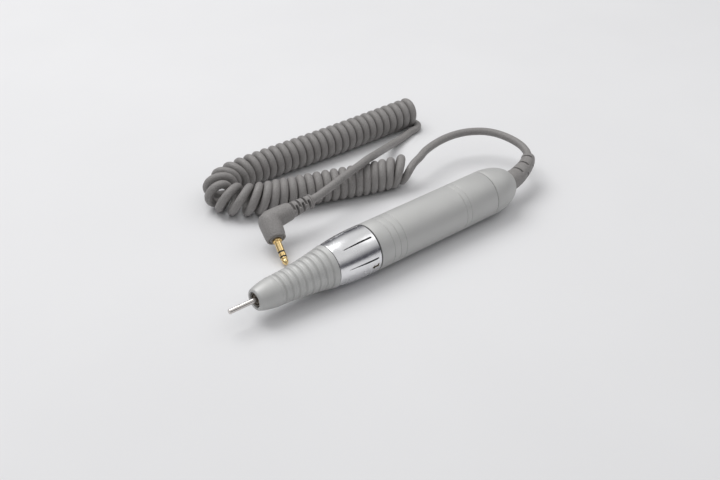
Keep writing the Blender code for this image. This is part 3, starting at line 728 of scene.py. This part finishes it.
def ladder_cut(at, angles, slots, spread, depth, side):
    """Depth of a relief's slots, which sit on alternating sides of the sleeve."""
    cut = np.zeros(len(angles))
    for n, (centre, half) in enumerate(slots):
        towards = side + (math.pi if n % 2 else 0.0)
        away = np.abs((angles - towards + math.pi) % (2 * math.pi) - math.pi)
        window = 1 - ease(away, spread - 0.12, spread + 0.12)
        wall = 1 - ease(np.abs(at - centre), half * 0.8, half * 1.2)
        cut = np.maximum(cut, depth * wall * window)
    return cut


def make_strain_relief(looks):
    """Slotted sleeve along the cord, with its flange and neck inside the cap."""
    line = smooth_route(LEAD_ROUTE, 0.14)
    line = line[travel_along(line) <= RELIEF_LENGTH]
    travel = travel_along(line)
    radii = RELIEF_BASE_R + (RELIEF_TIP_R - RELIEF_BASE_R) * travel / RELIEF_LENGTH
    radii[-6:] -= np.linspace(0, 0.5, 6) ** 2 * 1.2
    slots = [(8.0, 0.5), (11.6, 0.55), (15.3, 0.5), (18.9, 0.5), (22.6, 0.45)]
    inner = np.array([(74.0, 0, 12.0), (81.0, 0, 12.0), (81.05, 0, 12.0), (83.2, 0, 12.0),
                      (83.25, 0, 12.0), (86.8, 0, 12.0), (86.85, 0, 12.0)])
    inner_radii = np.array([CORD_R, CORD_R, 5.6, 5.6, 4.6, 4.6, RELIEF_BASE_R])
    start = travel_along(np.concatenate([inner, line[:1]]))[-1]

    def radius_at(at, radius, angles):
        return radius - ladder_cut(at - start, angles, slots, 1.25, 1.5, math.radians(60))

    swept("relief_sleeve", np.concatenate([inner, line[1:]]),
          np.concatenate([inner_radii, radii[1:]]), 64, [looks["grey_cord"]], "handpiece",
          ["strain_relief"], radius_at)


def make_cord(looks):
    """The cord in one piece; it is a little thicker where it is wound."""
    fade = 10
    line = cord_line()
    coil = coil_line()
    travel = travel_along(line)
    start, end = (travel[nearest(line, point)] for point in (coil[0], coil[-1]))
    wound = ease(travel, start, start + fade) * (1 - ease(travel, end - fade, end))
    radii = CORD_R + COIL_SWELL * wound
    cord = swept("curly_cord_full", line, radii, 16, [looks["grey_cord"]], "handpiece",
                 ["cord_lead", "curly_cord", "cord_tail"])


# ---------------------------------------------------------------- plug

def make_plug_body(looks):
    """The moulded elbow: a tapered nose, a rounded corner and the start of the cord's arm."""
    elbow = np.array(ELBOW)
    arm = np.array(TAIL_ROUTE[-1]) - elbow
    arm_length = float(np.linalg.norm(arm))
    nose = [(-3.6, TINY), (-3.6, 3.4), (-2.6, 4.7), (-1.0, 5.5), (1.0, 5.7),
            (NOSE_LENGTH - 3.5, 5.3), (NOSE_LENGTH - 1.6, 5.05), (NOSE_LENGTH - 1.6, TINY)]
    sleeve = [(-2.6, TINY), (-2.6, 4.2), (0.0, 5.3), (5.0, 5.2), (arm_length - RIBBED_LENGTH, 4.6),
              (arm_length - RIBBED_LENGTH, TINY)]
    body = turned("plug_elbow", nose, [looks["grey_cord"]], "handpiece",
                  ["plug_body"], 48, ELBOW, JACK_AXIS, False)
    arm_part = turned("plug_arm", sleeve, [looks["grey_cord"]], "handpiece", (),
                      48, ELBOW, arm, False)
    merge_and_round(body, arm_part)
    ring = [(-2.6, TINY), (-2.6, 4.8), (-1.75, 4.95), (-0.95, 4.93), (-0.65, 4.7), (-0.6, 4.35),
            (-0.65, 4.0), (-1.2, 3.85), (-1.2, 3.45), (-0.7, 3.35), (-0.62, 3.1), (-0.62, TINY)]
    ring = [(NOSE_LENGTH + along, radius) for along, radius in ring]
    face = turned("plug_face", ring, [looks["grey_cord"]], "handpiece", (),
                  64, ELBOW, JACK_AXIS, False)
    return [body, face, make_plug_relief(looks, arm, arm_length)]


def merge_and_round(body, other):
    """Join two closed pieces into one moulded form with soft inner corners."""
    union = body.modifiers.new("union", "BOOLEAN")
    union.operation = "UNION"
    union.solver = "EXACT"
    union.object = other
    remesh = body.modifiers.new("remesh", "REMESH")
    remesh.mode = "VOXEL"
    remesh.voxel_size = 0.32 * MM
    smooth = body.modifiers.new("smooth", "SMOOTH")
    smooth.iterations = 14
    smooth.factor = 0.6
    mesh = bpy.data.meshes.new_from_object(
        body.evaluated_get(bpy.context.evaluated_depsgraph_get()))
    body.modifiers.clear()
    body.data = mesh
    mesh.polygons.foreach_set("use_smooth", [True] * len(mesh.polygons))
    bpy.data.objects.remove(other)


def make_plug_relief(looks, arm, arm_length):
    """Slotted sleeve between the elbow and the cord, with a small collar at its end."""
    direction = arm / arm_length
    sunk = 0.6
    start = np.array(ELBOW) + direction * (arm_length - RIBBED_LENGTH - sunk)
    line = start + np.arange(0, RIBBED_LENGTH + 0.7, 0.12)[:, None] * direction
    travel = travel_along(line)
    radii = RIBBED_BASE_R + (RIBBED_TIP_R - RIBBED_BASE_R) * travel / travel[-1]
    radii += 0.45 * ease(travel, travel[-1] - 1.5, travel[-1] - 1.3)
    radii[-5:] -= np.linspace(0, 0.3, 5)
    slots = [(1.6 + 1.85 * n, 0.5) for n in range(6)]

    def radius_at(at, radius, angles):
        return radius - ladder_cut(at, angles, slots, 1.8, 2.0, math.radians(50))

    return swept("plug_relief", line, radii, 56, [looks["grey_cord"]], "handpiece",
                 (), radius_at)


def make_jack(looks):
    """Sleeve, ring and tip of the jack with the insulators between them."""
    pieces = [
        ("jack_sleeve", "gold_plate", "plug_sleeve",
         [(-0.3, 2.4), (0.75, 2.4), (0.9, 2.28), (0.9, 1.85), (1.0, JACK_R), (6.5, JACK_R)]),
        ("jack_insulator_1", "black_plastic", "plug_insulator_1", [(6.5, 1.66), (7.4, 1.66)]),
        ("jack_ring", "gold_plate", "plug_ring", [(7.4, JACK_R), (9.3, JACK_R)]),
        ("jack_insulator_2", "black_plastic", "plug_insulator_2", [(9.3, 1.66), (10.2, 1.66)]),
        ("jack_tip", "gold_plate", "plug_tip",
         smooth_profile([(10.2, JACK_R), (10.6, JACK_R), (11.1, 1.5), (11.5, 1.42), (12.1, 1.55),
                         (12.7, 1.4), (13.6, 0.8), (14.0, 0.3)], 0.12)),
    ]
    made = []
    for name, look, node, outline in pieces:
        outline = [(NOSE_LENGTH + along, radius) for along, radius in outline]
        outline = [(outline[0][0], TINY)] + outline + [(outline[-1][0], TINY)]
        made.append(turned(name, outline, [looks[look]], "handpiece", [node], 64,
                           ELBOW, JACK_AXIS, False))
    return made


# ---------------------------------------------------------------- the rest of the frame

def dress_frame(looks, loaded):
    """Give each CAD node the material of its slot."""
    slots = {row["node"]: row["material_slot"] for row in loaded["record"]["subparts"]}
    for name, node in loaded["nodes"].items():
        node.data.materials.clear()
        node.data.materials.append(looks[slots[name]])


# ---------------------------------------------------------------- stage

def make_camera():
    data = bpy.data.cameras.new("camera")
    data.lens = CAMERA_LENS
    data.clip_start = 0.01
    data.clip_end = 20
    camera = bpy.data.objects.new("camera", data)
    bpy.context.scene.collection.objects.link(camera)
    camera.location = Vector(CAMERA_AT) * MM
    camera.rotation_euler = Euler((math.pi / 2 - CAMERA_PITCH, 0, -CAMERA_YAW))
    bpy.context.scene.camera = camera


def area_light(name, place, size, power):
    data = bpy.data.lights.new(name, "AREA")
    data.shape = "DISK"
    data.size = size
    data.energy = power
    light = bpy.data.objects.new(name, data)
    bpy.context.scene.collection.objects.link(light)
    light.location = place
    direction = Vector(LIGHTS_AIM) - Vector(place)
    light.rotation_euler = direction.to_track_quat("-Z", "Y").to_euler()


def make_world():
    """A studio that is bright overhead and dim near the horizon."""
    world = bpy.data.worlds.new("studio")
    world.use_nodes = True
    nodes, links = world.node_tree.nodes, world.node_tree.links
    split = nodes.new("ShaderNodeSeparateXYZ")
    links.new(nodes.new("ShaderNodeTexCoord").outputs["Generated"], split.inputs["Vector"])
    ramp = nodes.new("ShaderNodeValToRGB")
    ramp.color_ramp.elements[0].position = 0.22
    ramp.color_ramp.elements[0].color = HORIZON_COLOUR
    ramp.color_ramp.elements[1].position = 0.62
    ramp.color_ramp.elements[1].color = OVERHEAD_COLOUR
    links.new(split.outputs["Z"], ramp.inputs["Fac"])
    background = nodes["Background"]
    background.inputs["Strength"].default_value = WORLD_STRENGTH
    links.new(ramp.outputs["Color"], background.inputs["Color"])
    bpy.context.scene.world = world


def make_floor():
    half = FLOOR_HALF
    mesh = bpy.data.meshes.new("floor")
    mesh.from_pydata([(-half, -half, 0), (half, -half, 0), (half, half, 0), (-half, half, 0)],
                     [], [(0, 1, 2, 3)])
    mesh.materials.append(floor_paper())
    floor = bpy.data.objects.new("floor", mesh)
    bpy.context.scene.collection.objects.link(floor)


# ---------------------------------------------------------------- scene

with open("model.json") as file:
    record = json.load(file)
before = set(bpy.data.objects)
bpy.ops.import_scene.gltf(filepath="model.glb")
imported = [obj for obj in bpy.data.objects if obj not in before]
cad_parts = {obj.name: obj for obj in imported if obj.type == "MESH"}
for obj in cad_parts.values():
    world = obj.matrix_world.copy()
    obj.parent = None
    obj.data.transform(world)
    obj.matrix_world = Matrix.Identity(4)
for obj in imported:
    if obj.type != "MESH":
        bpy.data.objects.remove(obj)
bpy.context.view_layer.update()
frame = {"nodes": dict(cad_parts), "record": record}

make_camera()
all_looks = make_looks()
plug = make_plug_body(all_looks) + make_jack(all_looks)
make_cord(all_looks)
make_strain_relief(all_looks)
make_nose(all_looks)
make_collar(all_looks)
make_arrow(all_looks)
make_barrel(all_looks)
make_cap(all_looks)
make_seams(all_looks)
make_spindle_nose(all_looks)
make_collet(all_looks)
make_pin(all_looks)
dress_frame(all_looks, frame)
make_floor()
make_world()
area_light(*KEY_LIGHT)
area_light(*FILL_LIGHT)
bpy.context.scene.view_settings.view_transform = "Standard"
